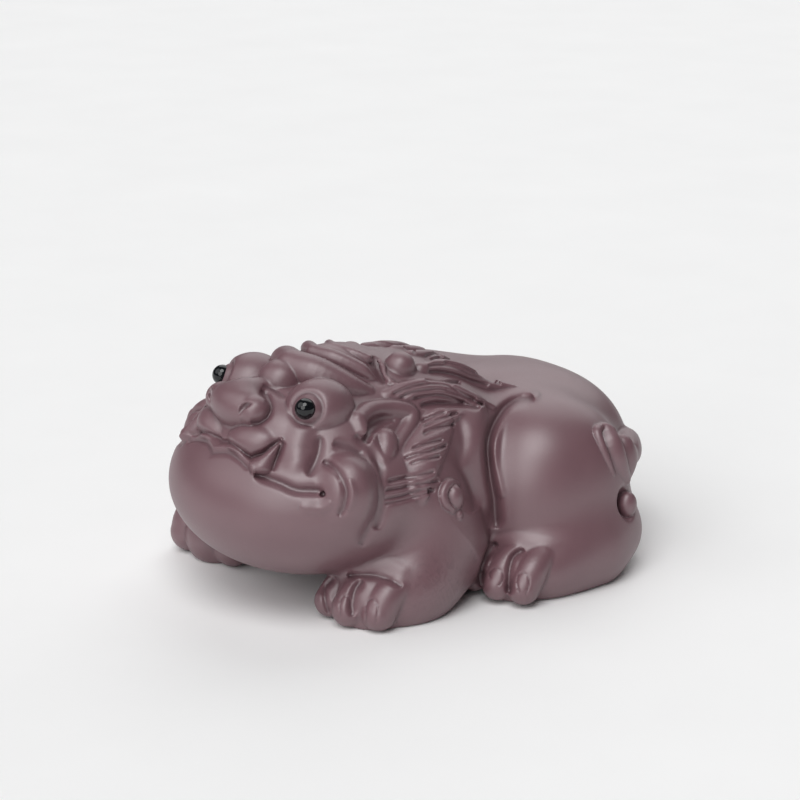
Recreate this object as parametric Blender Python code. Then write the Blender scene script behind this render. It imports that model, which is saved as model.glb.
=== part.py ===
"""A crouching beast tea pet of unglazed purple clay, with two round beads for eyes.

The clay is one moulded piece, flat underneath, so it is one object. Each bead sits in a round
socket in a brow. Metres, +Z up, the head looks along -Y and the pet's left flank is on +X.
"""
import math

import bmesh
import bpy
import numpy as np
from mathutils import Matrix, Vector

MM = 0.001

# Driving dimensions of the head: the jaw carries the face, the ears and the mane
JAW_WIDTH = 50.0 * MM
JAW_LENGTH = 48.0 * MM
JAW_HEIGHT = 31.0 * MM
CHIN_CLEARANCE = 4.0 * MM
HEAD_REACH = 14.0 * MM
SKULL_WIDTH = 36.0 * MM
SKULL_LENGTH = 25.0 * MM
SKULL_HEIGHT = 18.4 * MM
CREST_WIDTH = 30.0 * MM
CREST_LENGTH = 32.0 * MM
CREST_HEIGHT = 20.4 * MM
CROWN_WIDTH = 17.2 * MM
CROWN_LENGTH = 22.0 * MM
CROWN_HEIGHT = 17.2 * MM
MANE_WIDTH = 41.0 * MM
MANE_LENGTH = 33.0 * MM
MANE_HEIGHT = 26.4 * MM
MUZZLE_WIDTH = 26.0 * MM
MUZZLE_LENGTH = 15.0 * MM
MUZZLE_HEIGHT = 14.0 * MM
NOSE_WIDTH = 12.8 * MM
NOSE_HEIGHT = 7.8 * MM
LIP_WIDTH = 10.6 * MM
LIP_DEPTH = 7.2 * MM
LIP_HEIGHT = 6.4 * MM
CHEEK_DIAMETER = 12.6 * MM
BROW_DIAMETER = 11.6 * MM
FOREHEAD_DIAMETER = 9.0 * MM
EAR_THICKNESS = 3.7 * MM
HORN_DIAMETER = 5.0 * MM
FANG_LENGTH = 7.0 * MM
FANG_WIDTH = 2.6 * MM

# Driving dimensions of the trunk and the limbs
TORSO_WIDTH = 44.0 * MM
TORSO_LENGTH = 54.0 * MM
TORSO_HEIGHT = 34.6 * MM
TORSO_SETBACK = 16.0 * MM
TORSO_CENTRE_HEIGHT = 15.5 * MM
RUMP_WIDTH = 45.0 * MM
RUMP_LENGTH = 37.0 * MM
RUMP_HEIGHT = 34.0 * MM
HAUNCH_WIDTH = 30.6 * MM
HAUNCH_LENGTH = 30.8 * MM
HAUNCH_HEIGHT = 35.6 * MM
HAUNCH_TURN = math.radians(-8.0)
HEEL_WIDTH = 18.0 * MM
HEEL_LENGTH = 27.2 * MM
HEEL_HEIGHT = 18.0 * MM
# How square the shoulders of the rump and the haunches are: 2 is a plain egg
FULLNESS = 2.4
HIND_FOOT_WIDTH = 13.6 * MM
ARM_WIDTH = 19.0 * MM
ARM_LENGTH = 20.0 * MM
ARM_HEIGHT = 26.0 * MM
PAW_WIDTH = 14.0 * MM
TOE_DIAMETER = 6.0 * MM
HIND_TOE_DIAMETER = 5.5 * MM
TAIL_WIDTH = 5.2 * MM
CURL_DIAMETER = 4.9 * MM

# Driving dimensions of the carved lines
HAIR_LINE_WIDTH = 0.5 * MM
HAIR_LINE_DEPTH = 0.7 * MM
FOLD_WIDTH = 1.1 * MM
FOLD_DEPTH = 1.2 * MM
MOUTH_DEPTH = 1.3 * MM
MOUTH_HOLE_DIAMETER = 1.3 * MM
NOSTRIL_WIDTH = 1.1 * MM
# The tool that cuts the lines comes from ahead of the flank and a little above
TOOL_DIRECTION = Vector((0.75, -0.59, 0.30)).normalized()
TOOL_REACH = 6.0 * MM

# Driving dimensions of the eyes
EYE_DIAMETER = 3.6 * MM
SEAT_CLEARANCE = 0.3 * MM
SEAT_DEPTH_SHARE = 0.6
LID_WIDTH = 1.2 * MM
# Centre of the left brow, in half sizes of the jaw from its centre
BROW_PLACE = (0.392, -0.183, 1.026)

# Fineness of the fused clay
CLAY_VOXEL = 0.55 * MM
MASS_SMOOTHING = 10
DETAIL_SMOOTHING = 2
CLAY_TRIANGLES = 9700

CLAY_COLOUR = (0.150, 0.088, 0.090, 1.0)
BEAD_COLOUR = (0.006, 0.008, 0.011, 1.0)


class Form:
    """An egg-shaped mass that other forms are placed on by shares of its half sizes."""

    def __init__(self, centre, size, turn=0.0, fullness=2.0):
        self.centre = Vector(centre)
        self.half = Vector(size) / 2
        self.turn = turn
        self.fullness = fullness

    def at(self, x, y, z):
        return self.centre + Vector((x * self.half.x, y * self.half.y, z * self.half.z))


def new_object(name, mesh, material=None):
    piece = bpy.data.objects.new(name, mesh)
    bpy.context.scene.collection.objects.link(piece)
    if material is not None:
        piece.data.materials.append(material)
    return piece


def evaluated_mesh(piece):
    """The mesh with its modifiers applied; the object itself is removed."""
    graph = bpy.context.evaluated_depsgraph_get()
    mesh = bpy.data.meshes.new_from_object(piece.evaluated_get(graph))
    bpy.data.objects.remove(piece)
    return mesh


def add_egg(clay, form, segments=32):
    """A stretched ball with rounder or squarer shoulders, turned about Z."""
    place = Matrix.Translation(form.centre) @ Matrix.Rotation(form.turn, 4, "Z")
    ball = bmesh.new()
    bmesh.ops.create_uvsphere(ball, u_segments=segments, v_segments=segments // 2, radius=1.0)
    for vert in ball.verts:
        vert.co = Vector([math.copysign(abs(part) ** (2 / form.fullness), part) for part in vert.co])
    bmesh.ops.transform(ball, matrix=place @ Matrix.Diagonal((*form.half, 1.0)), verts=ball.verts[:])
    egg = mesh_of(ball, "egg")
    clay.from_mesh(egg)
    bpy.data.meshes.remove(egg)


def add_limb(clay, points, radii):
    """A bevelled curve through the points, with a ball at each end."""
    curve = bpy.data.curves.new("limb", "CURVE")
    curve.dimensions = "3D"
    curve.bevel_depth = 1.0
    curve.bevel_resolution = 4
    curve.resolution_u = 6
    curve.use_fill_caps = True
    spline = curve.splines.new("BEZIER")
    spline.bezier_points.add(len(points) - 1)
    for knot, point, radius in zip(spline.bezier_points, points, radii):
        knot.co = point
        knot.radius = radius
        knot.handle_left_type = "AUTO"
        knot.handle_right_type = "AUTO"
    tube = evaluated_mesh(new_object("limb", curve))
    clay.from_mesh(tube)
    bpy.data.meshes.remove(tube)
    for point, radius in ((points[0], radii[0]), (points[-1], radii[-1])):
        add_egg(clay, Form(point, Vector((2, 2, 2)) * radius), 16)


def mesh_of(clay, name):
    mesh = bpy.data.meshes.new(name)
    clay.to_mesh(mesh)
    clay.free()
    return mesh


def fused(clay, name, smoothing):
    """Mirrors the left half, melts the overlapping bodies into one skin and smooths it."""
    piece = new_object(name, mesh_of(clay, name))
    mirror = piece.modifiers.new("right half", "MIRROR")
    mirror.use_mirror_merge = False
    melt = piece.modifiers.new("one skin", "REMESH")
    melt.mode = "VOXEL"
    melt.voxel_size = CLAY_VOXEL
    soften = piece.modifiers.new("soft joins", "SMOOTH")
    soften.iterations = smoothing
    return evaluated_mesh(piece)


def smooth_path(points, steps=6):
    """A curve through the points, by Catmull and Rom's rule."""
    knots = np.array([list(point) for point in points])
    ends = np.vstack([2 * knots[0] - knots[1], knots, 2 * knots[-1] - knots[-2]])
    share = np.linspace(0, 1, steps, endpoint=False)[:, None]
    pieces = []
    for a, b, c, d in zip(ends, ends[1:], ends[2:], ends[3:]):
        bend = (2 * a - 5 * b + 4 * c - d) * share ** 2 + (3 * b - a - 3 * c + d) * share ** 3
        pieces.append(0.5 * (2 * b + (c - a) * share + bend))
    return np.vstack(pieces + [knots[-1:]])


def carve(mesh, strokes):
    """Sinks the skin along its normals under each stroke of the tool, on both flanks.

    A stroke is (path, width, depth): the depth fades with the square of the distance to the path,
    seen along the tool, and to nothing at the path's ends. A depth below zero raises a ridge.
    """
    count = len(mesh.vertices)
    place = np.empty(count * 3)
    mesh.vertices.foreach_get("co", place)
    place = place.reshape(-1, 3)
    normal = np.empty(count * 3)
    mesh.vertex_normals.foreach_get("vector", normal)
    normal = normal.reshape(-1, 3)
    tool = np.array(TOOL_DIRECTION)
    folded = place * np.where(place[:, :1] < 0, (-1, 1, 1), (1, 1, 1))
    depth = np.zeros(count)
    for points, width, sink in strokes:
        path = smooth_path(points)
        near = np.ones(count, bool)
        for axis in range(3):
            near &= folded[:, axis] > path[:, axis].min() - TOOL_REACH
            near &= folded[:, axis] < path[:, axis].max() + TOOL_REACH
        skin = folded[near]
        flat_skin = skin - (skin @ tool)[:, None] * tool
        flat_path = path - (path @ tool)[:, None] * tool
        lengths = np.linalg.norm(np.diff(flat_path, axis=0), axis=1)
        start = np.concatenate([[0], np.cumsum(lengths)])
        nearest = np.full(len(skin), np.inf)
        along = np.zeros(len(skin))
        for index, (head, tail) in enumerate(zip(flat_path, flat_path[1:])):
            run = tail - head
            share = np.clip((flat_skin - head) @ run / (run @ run), 0, 1)
            gap = ((flat_skin - head - share[:, None] * run) ** 2).sum(axis=1)
            along = np.where(gap < nearest, start[index] + share * lengths[index], along)
            nearest = np.minimum(nearest, gap)
        fade = np.clip(np.minimum(along, start[-1] - along) / (2 * width), 0.0, 1.0)
        facing = np.clip((mesh_sides(normal[near], place[near]) @ tool) * 3, 0, 1)
        depth[near] += sink * fade * facing * np.exp(-nearest / width ** 2)
    place -= depth[:, None] * normal
    mesh.vertices.foreach_set("co", place.ravel())
    mesh.update()


def mesh_sides(normal, place):
    """Normals of both flanks as if they all lay on the left one."""
    return normal * np.where(place[:, :1] < 0, (-1, 1, 1), (1, 1, 1))


def body_masses():
    """The forms that everything else is placed on."""
    jaw_height = CHIN_CLEARANCE + JAW_HEIGHT / 2
    jaw = Form((0, -HEAD_REACH, jaw_height), (JAW_WIDTH, JAW_LENGTH, JAW_HEIGHT))
    torso = Form((0, TORSO_SETBACK, TORSO_CENTRE_HEIGHT), (TORSO_WIDTH, TORSO_LENGTH, TORSO_HEIGHT))
    rump = Form(torso.at(0, 0.61, -0.06), (RUMP_WIDTH, RUMP_LENGTH, RUMP_HEIGHT), 0.0, FULLNESS)
    haunch_size = (HAUNCH_WIDTH, HAUNCH_LENGTH, HAUNCH_HEIGHT)
    haunch = Form(torso.at(0.77, 0.32, -0.13), haunch_size, HAUNCH_TURN, FULLNESS)
    arm = Form(torso.at(0.77, -0.70, -0.03), (ARM_WIDTH, ARM_LENGTH, ARM_HEIGHT))
    return jaw, torso, rump, haunch, arm


def toe_row(root, tip, radius, pitch, outer_setback):
    """Three toes side by side, each a short limb from the foot down to the ground."""
    toes = []
    for number in (-1, 0, 1):
        shift = Vector((number * pitch, max(0, number) * outer_setback, 0))
        knuckle = (root + tip) / 2 + shift + Vector((0, 0, radius / 3))
        toes.append(([root + shift, knuckle, tip + shift], [radius, radius * 1.03, radius]))
    return toes


def add_limbs(clay, haunch, arm):
    elbow = arm.at(0.05, 0.10, -0.46)
    wrist = arm.at(0.32, -0.50, -0.77)
    paw = Vector((arm.at(0.21, 0, 0).x, arm.at(0, -1.10, 0).y, PAW_WIDTH * 0.21))
    add_limb(clay, [elbow, wrist, paw], [PAW_WIDTH * 0.75, PAW_WIDTH * 0.61, PAW_WIDTH / 2])
    add_egg(clay, Form(haunch.at(0.56, 0.09, -0.35), (HEEL_WIDTH, HEEL_LENGTH, HEEL_HEIGHT)))
    foot = [haunch.at(0.59, -0.95, -0.52), haunch.at(0.72, -0.49, -0.49), haunch.at(0.72, 0.16, -0.47)]
    sole = HIND_FOOT_WIDTH / 2
    add_limb(clay, foot, [sole * 0.76, sole, sole * 1.1])


def add_toes(clay, haunch, arm):
    front = TOE_DIAMETER / 2
    root = Vector((arm.at(0.3, 0, 0).x, arm.at(0, -1.17, 0).y, front * 1.75))
    tip = Vector((arm.at(0.24, 0, 0).x, arm.at(0, -1.70, 0).y, front))
    hind = HIND_TOE_DIAMETER / 2
    hind_root = Vector((haunch.at(0.60, 0, 0).x, haunch.at(0, -0.87, 0).y, hind * 2.2))
    hind_tip = Vector((haunch.at(0.57, 0, 0).x, haunch.at(0, -1.17, 0).y, hind * 1.15))
    toes = toe_row(root, tip, front, TOE_DIAMETER * 0.92, TOE_DIAMETER * 0.25)
    toes += toe_row(hind_root, hind_tip, hind, HIND_TOE_DIAMETER * 0.79, HIND_TOE_DIAMETER * 0.4)
    for points, radii in toes:
        add_limb(clay, points, radii)


def add_face(clay, jaw):
    add_egg(clay, Form(jaw.at(0, -0.583, 1.04), (NOSE_WIDTH, NOSE_HEIGHT, NOSE_HEIGHT)))
    wing = Vector((NOSE_WIDTH * 0.44, NOSE_HEIGHT * 0.77, NOSE_HEIGHT * 0.67))
    add_egg(clay, Form(jaw.at(0, -0.58, 1.05) + Vector((NOSE_WIDTH * 0.39, 0, 0)), wing))
    add_limb(clay, [jaw.at(0, -0.52, 1.155), jaw.at(0, -0.33, 1.08)],
             [NOSE_HEIGHT * 0.31, NOSE_HEIGHT * 0.38])
    add_egg(clay, Form(jaw.at(0.216, -0.608, 0.716), (LIP_WIDTH, LIP_DEPTH, LIP_HEIGHT), math.radians(18)))
    flews = [jaw.at(0.53, -0.33, 0.94), jaw.at(0.50, -0.43, 0.74), jaw.at(0.52, -0.44, 0.51)]
    add_limb(clay, flews, [LIP_HEIGHT * 0.47, LIP_HEIGHT * 0.48, LIP_HEIGHT * 0.5])
    add_egg(clay, Form(jaw.at(0.78, -0.23, 0.26), Vector((0.95, 0.98, 1.1)) * CHEEK_DIAMETER))
    add_egg(clay, Form(jaw.at(*BROW_PLACE), Vector((0.965, 1.035, 0.9)) * BROW_DIAMETER))
    add_egg(clay, Form(jaw.at(0, -0.225, 1.219), Vector((0.87, 0.87, 0.78)) * FOREHEAD_DIAMETER))
    fang_tip = jaw.at(0.45, -0.54, 0.81)
    fang_base = fang_tip - Vector((0.28, 0.49, 0.83)).normalized() * FANG_LENGTH
    add_limb(clay, [fang_base, fang_base.lerp(fang_tip, 0.4), fang_tip],
             [FANG_WIDTH * 0.6, FANG_WIDTH * 0.5, FANG_WIDTH * 0.3])


def add_ear_and_horn(clay, jaw):
    rim = [jaw.at(0.64, -0.07, 0.97), jaw.at(0.58, 0.13, 0.98), jaw.at(0.59, 0.34, 0.92),
           jaw.at(0.64, 0.43, 0.82), jaw.at(0.72, 0.31, 0.66)]
    add_limb(clay, rim, [EAR_THICKNESS * share for share in (0.43, 0.49, 0.54, 0.49, 0.43)])
    add_egg(clay, Form(jaw.at(0.77, 0.12, 0.67), Vector((1, 1, 1.1)) * EAR_THICKNESS * 1.24), 16)
    add_egg(clay, Form(jaw.at(0.31, 0.57, 1.21), Vector((1, 1, 1)) * HORN_DIAMETER), 16)
    rolls = [
        ([(0, -0.125, 1.335), (0.18, -0.04, 1.30), (0.32, 0.10, 1.17), (0.38, 0.24, 1.08)],
         (0.175, 0.17, 0.14, 0.08)),
        ([(0, 0.067, 1.471), (0.16, 0.14, 1.426), (0.30, 0.28, 1.28), (0.35, 0.37, 1.17)],
         (0.081, 0.081, 0.07, 0.035)),
        ([(0, 0.242, 1.465), (0.14, 0.31, 1.44), (0.24, 0.41, 1.335), (0.28, 0.46, 1.28)],
         (0.076, 0.07, 0.052, 0.03)),
    ]
    for line, shares in rolls:
        add_limb(clay, [jaw.at(*point) for point in line], [CROWN_HEIGHT * share for share in shares])


def add_mane(clay, jaw):
    """Three locks swept back over the shoulder, half sunk in the mane."""
    lock = MANE_HEIGHT * 0.1
    locks = [
        ([jaw.at(0.20, 0.71, 1.20), jaw.at(0.22, 0.94, 1.20), jaw.at(0.20, 1.10, 1.13)],
         (0.6, 0.7, 0.25)),
        ([jaw.at(0.39, 0.67, 1.12), jaw.at(0.36, 0.92, 1.06), jaw.at(0.40, 1.16, 0.95),
          jaw.at(0.44, 1.53, 0.79)], (0.8, 1.1, 0.9, 0.2)),
        ([jaw.at(0.51, 0.27, 1.0), jaw.at(0.52, 0.50, 0.98), jaw.at(0.54, 0.75, 0.92),
          jaw.at(0.57, 0.99, 0.80), jaw.at(0.60, 1.24, 0.64)], (0.7, 0.9, 1.0, 0.8, 0.2)),
    ]
    for points, shares in locks:
        add_limb(clay, points, [lock * share for share in shares])
    add_egg(clay, Form(jaw.at(0.99, 0.47, 0.11), Vector((0.9, 0.95, 1.1)) * CURL_DIAMETER), 16)
    add_egg(clay, Form(jaw.at(1.03, 0.50, 0.05), Vector((0.5, 0.55, 0.6)) * CURL_DIAMETER), 16)


def add_tail(clay, rump, haunch):
    """A split tail: from its root at the back each half curls over one haunch."""
    band = [rump.at(0, 0.93, -0.20), rump.at(0.36, 0.93, 0.09), rump.at(0.70, 0.74, 0.22),
            rump.at(0.95, 0.49, 0.28), haunch.at(0.70, 0.70, 0.45), haunch.at(0.78, 0.38, 0.66),
            haunch.at(0.68, 0.22, 0.80)]
    add_limb(clay, band, [TAIL_WIDTH * share for share in (0.42, 0.46, 0.5, 0.55, 0.6, 0.52, 0.4)])
    lip = [haunch.at(0.88, 0.22, 0.44), haunch.at(0.82, 0.19, 0.58), haunch.at(0.73, 0.19, 0.71),
           haunch.at(0.62, 0.31, 0.78), haunch.at(0.50, 0.60, 0.70)]
    add_limb(clay, lip, [TAIL_WIDTH * share for share in (0.2, 0.25, 0.27, 0.27, 0.25)])
    add_egg(clay, Form(haunch.at(0.95, 0.50, 0.02), Vector((0.9, 1, 1.1)) * CURL_DIAMETER), 16)


def hair_strokes(jaw):
    """Lines along the locks, then three bundles of short lines on the side of the mane."""
    lines = [
        [(0.22, 0.78, 1.32), (0.24, 0.95, 1.30), (0.22, 1.08, 1.22)],
        [(0.30, 0.80, 1.26), (0.30, 0.98, 1.24)],
        [(0.35, 0.84, 1.18), (0.36, 1.05, 1.10), (0.40, 1.28, 0.95), (0.43, 1.48, 0.82)],
        [(0.38, 0.82, 1.12), (0.39, 1.03, 1.04), (0.42, 1.25, 0.90)],
        [(0.43, 1.22, 0.83), (0.44, 1.45, 0.77)],
        [(0.50, 0.37, 1.08), (0.50, 0.60, 1.09), (0.51, 0.86, 1.01), (0.55, 1.18, 0.74)],
        [(0.52, 0.42, 1.03), (0.53, 0.62, 1.03), (0.55, 0.84, 0.94), (0.58, 1.02, 0.82)],
        [(0.55, 0.51, 0.98), (0.57, 0.74, 0.94), (0.60, 0.93, 0.83)],
        [(0.58, 0.55, 0.92), (0.61, 0.71, 0.89), (0.62, 0.88, 0.82)],
        [(0.65, 0.51, 0.77), (0.65, 0.74, 0.83)],
        [(0.67, 0.52, 0.73), (0.68, 0.80, 0.80)],
        [(0.70, 0.49, 0.65), (0.72, 0.75, 0.72)],
        [(0.77, 0.33, 0.57), (0.76, 0.60, 0.58)],
        [(0.82, 0.23, 0.53), (0.80, 0.62, 0.52)],
        [(0.85, 0.24, 0.48), (0.86, 0.48, 0.46)],
        [(0.92, 0.00, 0.39), (0.93, 0.40, 0.35)],
        [(0.95, 0.00, 0.30), (0.97, 0.40, 0.27)],
        [(0.98, 0.00, 0.21), (0.99, 0.37, 0.18)],
    ]
    return [([jaw.at(*point) for point in line], HAIR_LINE_WIDTH, HAIR_LINE_DEPTH) for line in lines]


def fold_strokes(jaw, haunch):
    """The mouth, the folds of the cheek and the hollow in front of the thigh."""
    on_jaw = [
        (FOLD_WIDTH * 0.8, FOLD_DEPTH, [(-0.26, -0.84, 0.47), (-0.11, -0.80, 0.59), (0.04, -0.76, 0.65),
                                        (0.22, -0.74, 0.64), (0.40, -0.74, 0.54)]),
        (FOLD_WIDTH * 0.8, MOUTH_DEPTH, [(0.48, -0.74, 0.47), (0.66, -0.64, 0.39), (0.80, -0.48, 0.37)]),
        (FOLD_WIDTH * 0.7, FOLD_DEPTH, [(0.69, -0.39, 0.61), (0.80, -0.29, 0.53), (0.88, -0.29, 0.36),
                                        (0.91, -0.39, 0.12)]),
        (FOLD_WIDTH * 0.7, FOLD_DEPTH, [(0.62, -0.36, 0.79), (0.67, -0.42, 0.62), (0.70, -0.52, 0.48)]),
        (FOLD_WIDTH, FOLD_DEPTH, [(0.69, -0.11, 0.84), (0.84, -0.02, 0.54), (0.96, -0.08, 0.27),
                                  (0.98, -0.16, -0.09), (0.88, -0.24, -0.40)]),
    ]
    on_haunch = [
        (FOLD_WIDTH, FOLD_DEPTH, [(-0.03, -0.10, 1.00), (-0.08, -0.37, 0.97), (0.02, -0.68, 0.88),
                                  (0.19, -0.95, 0.71), (0.28, -1.00, 0.43), (0.38, -0.99, 0.20),
                                  (0.38, -0.98, -0.11)]),
    ]
    strokes = [([jaw.at(*point) for point in line], width, depth) for width, depth, line in on_jaw]
    strokes += [([haunch.at(*point) for point in line], width, depth)
                for width, depth, line in on_haunch]
    return strokes


def eye_place(jaw):
    """Centre of the left bead, half sunk in its brow, and the way that it looks."""
    gaze = Vector((0.437, -0.851, 0.291)).normalized()
    return jaw.at(*BROW_PLACE) + gaze * (BROW_DIAMETER / 2 + EYE_DIAMETER * (0.5 - SEAT_DEPTH_SHARE)), gaze


def lid_stroke(centre, gaze):
    """A raised ring of clay round the bead."""
    side = gaze.cross(Vector((0, 0, 1))).normalized()
    rise = side.cross(gaze)
    radius = EYE_DIAMETER / 2 + SEAT_CLEARANCE + LID_WIDTH / 2
    turns = [2 * math.pi * step / 10 for step in range(11)]
    ring = [centre + (side * math.cos(turn) + rise * math.sin(turn)) * radius for turn in turns]
    return ring, LID_WIDTH / 2, -LID_WIDTH / 3


def clay_material():
    clay = bpy.data.materials.new("purple_clay")
    clay.use_nodes = True
    shader = clay.node_tree.nodes["Principled BSDF"]
    shader.inputs["Base Color"].default_value = CLAY_COLOUR
    shader.inputs["Roughness"].default_value = 0.7
    return clay


def bead_material():
    bead = bpy.data.materials.new("black_bead")
    bead.use_nodes = True
    shader = bead.node_tree.nodes["Principled BSDF"]
    shader.inputs["Base Color"].default_value = BEAD_COLOUR
    shader.inputs["Roughness"].default_value = 0.06
    return bead


def cutter_object(clay, name):
    cutter = new_object(name, mesh_of(clay, name))
    cutter.hide_render = True
    cutter.display_type = "WIRE"
    return cutter


def hole_cutter(jaw, eye):
    """Both sockets, both nostrils and the two small holes at the mouth's corners."""
    holes = bmesh.new()
    socket = EYE_DIAMETER / 2 + SEAT_CLEARANCE
    nostril = jaw.at(0.172, -0.66, 1.08)
    corner = jaw.at(0.78, -0.46, 0.36)
    for side in (1, -1):
        flip = Vector((side, 1, 1))
        add_egg(holes, Form(eye * flip, Vector((2, 2, 2)) * socket), 24)
        slot = Form(nostril * flip, Vector((1.5, 3.0, 1.0)) * NOSTRIL_WIDTH, side * math.radians(40))
        add_egg(holes, slot, 12)
        deep = Vector((1, 3, 1)) * MOUTH_HOLE_DIAMETER
        add_egg(holes, Form(corner * flip, deep, side * math.radians(50)), 12)
    return cutter_object(holes, "hole_cutter")


def base_cutter():
    """A block below the table's plane, well past every form that reaches down through it."""
    span, depth = 4 * TORSO_LENGTH, TORSO_HEIGHT
    block = bmesh.new()
    size = Matrix.Diagonal((span, span, depth, 1.0))
    bmesh.ops.create_cube(block, size=1.0, matrix=Matrix.Translation((0, 0, -depth / 2)) @ size)
    return cutter_object(block, "base_cutter")


def clay_body(jaw, torso, rump, haunch, arm, eye, gaze):
    masses = bmesh.new()
    for form in (jaw, torso, rump, haunch, arm):
        add_egg(masses, form)
    add_egg(masses, Form(jaw.at(0, -0.08, 0.65), (SKULL_WIDTH, SKULL_LENGTH, SKULL_HEIGHT)))
    add_egg(masses, Form(jaw.at(0, 0.475, 0.68), (CREST_WIDTH, CREST_LENGTH, CREST_HEIGHT)))
    add_egg(masses, Form(jaw.at(0, 0.19, 0.955), (CROWN_WIDTH, CROWN_LENGTH, CROWN_HEIGHT)))
    add_egg(masses, Form(jaw.at(0, 0.79, 0.32), (MANE_WIDTH, MANE_LENGTH, MANE_HEIGHT)))
    add_egg(masses, Form(jaw.at(0, -0.375, 0.74), (MUZZLE_WIDTH, MUZZLE_LENGTH, MUZZLE_HEIGHT)))
    add_limbs(masses, haunch, arm)
    skin = fused(masses, "masses", MASS_SMOOTHING)
    details = bmesh.new()
    details.from_mesh(skin)
    half = bmesh.ops.bisect_plane(details, geom=details.verts[:] + details.edges[:] + details.faces[:],
                                  plane_co=(0, 0, 0), plane_no=(1, 0, 0), clear_inner=True)
    rim = [edge for edge in half["geom_cut"] if isinstance(edge, bmesh.types.BMEdge)]
    bmesh.ops.holes_fill(details, edges=rim)
    bmesh.ops.triangulate(details, faces=details.faces[:])
    bmesh.ops.translate(details, verts=details.verts[:], vec=(-CLAY_VOXEL / 2, 0, 0))
    add_face(details, jaw)
    add_ear_and_horn(details, jaw)
    add_mane(details, jaw)
    add_tail(details, rump, haunch)
    add_toes(details, haunch, arm)
    skin = fused(details, "details", DETAIL_SMOOTHING)
    carve(skin, fold_strokes(jaw, haunch) + hair_strokes(jaw) + [lid_stroke(eye, gaze)])
    body = new_object("clay_body", skin, clay_material())
    faces = 2 * len(skin.polygons)
    fewer = body.modifiers.new("fewer faces", "DECIMATE")
    fewer.ratio = min(1.0, CLAY_TRIANGLES / faces)
    for name, cutter in (("flat base", base_cutter()), ("holes", hole_cutter(jaw, eye))):
        cut = body.modifiers.new(name, "BOOLEAN")
        cut.operation = "DIFFERENCE"
        cut.solver = "EXACT"
        cut.object = cutter
    return body


def eye_bead(name, centre, material):
    ball = bmesh.new()
    add_egg(ball, Form((0, 0, 0), Vector((1, 1, 1)) * EYE_DIAMETER), 24)
    bead = new_object(name, mesh_of(ball, name), material)
    bead.location = centre
    bead.data.shade_smooth()
    return bead


def centre_on_origin(body, followers):
    """Puts the middle of the clay's footprint box on the origin, and all else with it."""
    graph = bpy.context.evaluated_depsgraph_get()
    corners = [body.matrix_world @ Vector(corner) for corner in body.evaluated_get(graph).bound_box]
    middle = (min(corner.y for corner in corners) + max(corner.y for corner in corners)) / 2
    for piece in [body] + followers:
        piece.location.y -= middle


def main():
    for old in list(bpy.data.objects):
        bpy.data.objects.remove(old)
    jaw, torso, rump, haunch, arm = body_masses()
    eye, gaze = eye_place(jaw)
    body = clay_body(jaw, torso, rump, haunch, arm, eye, gaze)
    material = bead_material()
    beads = [eye_bead("eye_left", eye, material), eye_bead("eye_right", eye * Vector((-1, 1, 1)), material)]
    cutters = [piece for piece in bpy.data.objects if piece.hide_render]
    centre_on_origin(body, beads + cutters)


main()
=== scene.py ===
from concurrent.futures import ThreadPoolExecutor

import bpy
import numpy as np
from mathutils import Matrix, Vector


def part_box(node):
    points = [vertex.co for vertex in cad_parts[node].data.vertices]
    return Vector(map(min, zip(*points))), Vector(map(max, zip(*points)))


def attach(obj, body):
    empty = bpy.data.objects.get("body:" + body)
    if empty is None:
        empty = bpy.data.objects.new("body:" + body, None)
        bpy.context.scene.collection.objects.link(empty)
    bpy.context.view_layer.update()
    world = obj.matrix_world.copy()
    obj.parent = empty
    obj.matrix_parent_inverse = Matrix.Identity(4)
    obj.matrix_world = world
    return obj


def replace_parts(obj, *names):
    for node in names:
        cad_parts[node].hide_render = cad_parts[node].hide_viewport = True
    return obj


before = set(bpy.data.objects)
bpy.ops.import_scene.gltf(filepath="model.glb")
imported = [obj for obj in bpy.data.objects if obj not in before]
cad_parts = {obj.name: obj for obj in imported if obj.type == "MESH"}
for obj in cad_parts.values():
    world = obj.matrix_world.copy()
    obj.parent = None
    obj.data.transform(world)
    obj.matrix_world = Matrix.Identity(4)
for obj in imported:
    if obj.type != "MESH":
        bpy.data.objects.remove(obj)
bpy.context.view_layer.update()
print("frame loaded")

mm = 0.001

# The clay is one field of distances, and its skin lies where the field is zero. Its folds, locks and toes
# overlap and melt into each other, so they can't be one grid of two parameters.
# All places below are in mm, x to the left flank, y to the tail, z up, with y = 0 at the shoulders.
# The left eye bead has this place in them, and its place in the frame gives the shift to the frame.
eye = {"place": (12.2, -23.08, 37.0), "diameter": 3.6, "gaze": (0.437, -0.851, 0.291)}
beadLow, beadHigh = (np.array(corner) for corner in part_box("eye_left"))
shift = (beadLow + beadHigh) / 2 / mm - np.array(eye["place"])


def turnAbout(angles):
    # rotation matrix for turns about x, then y, then z, in degrees
    ax, ay, az = np.radians(angles)
    turnX = np.array([[1, 0, 0], [0, np.cos(ax), -np.sin(ax)], [0, np.sin(ax), np.cos(ax)]])
    turnY = np.array([[np.cos(ay), 0, np.sin(ay)], [0, 1, 0], [-np.sin(ay), 0, np.cos(ay)]])
    turnZ = np.array([[np.cos(az), -np.sin(az), 0], [np.sin(az), np.cos(az), 0], [0, 0, 1]])
    return turnZ @ turnY @ turnX


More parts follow.
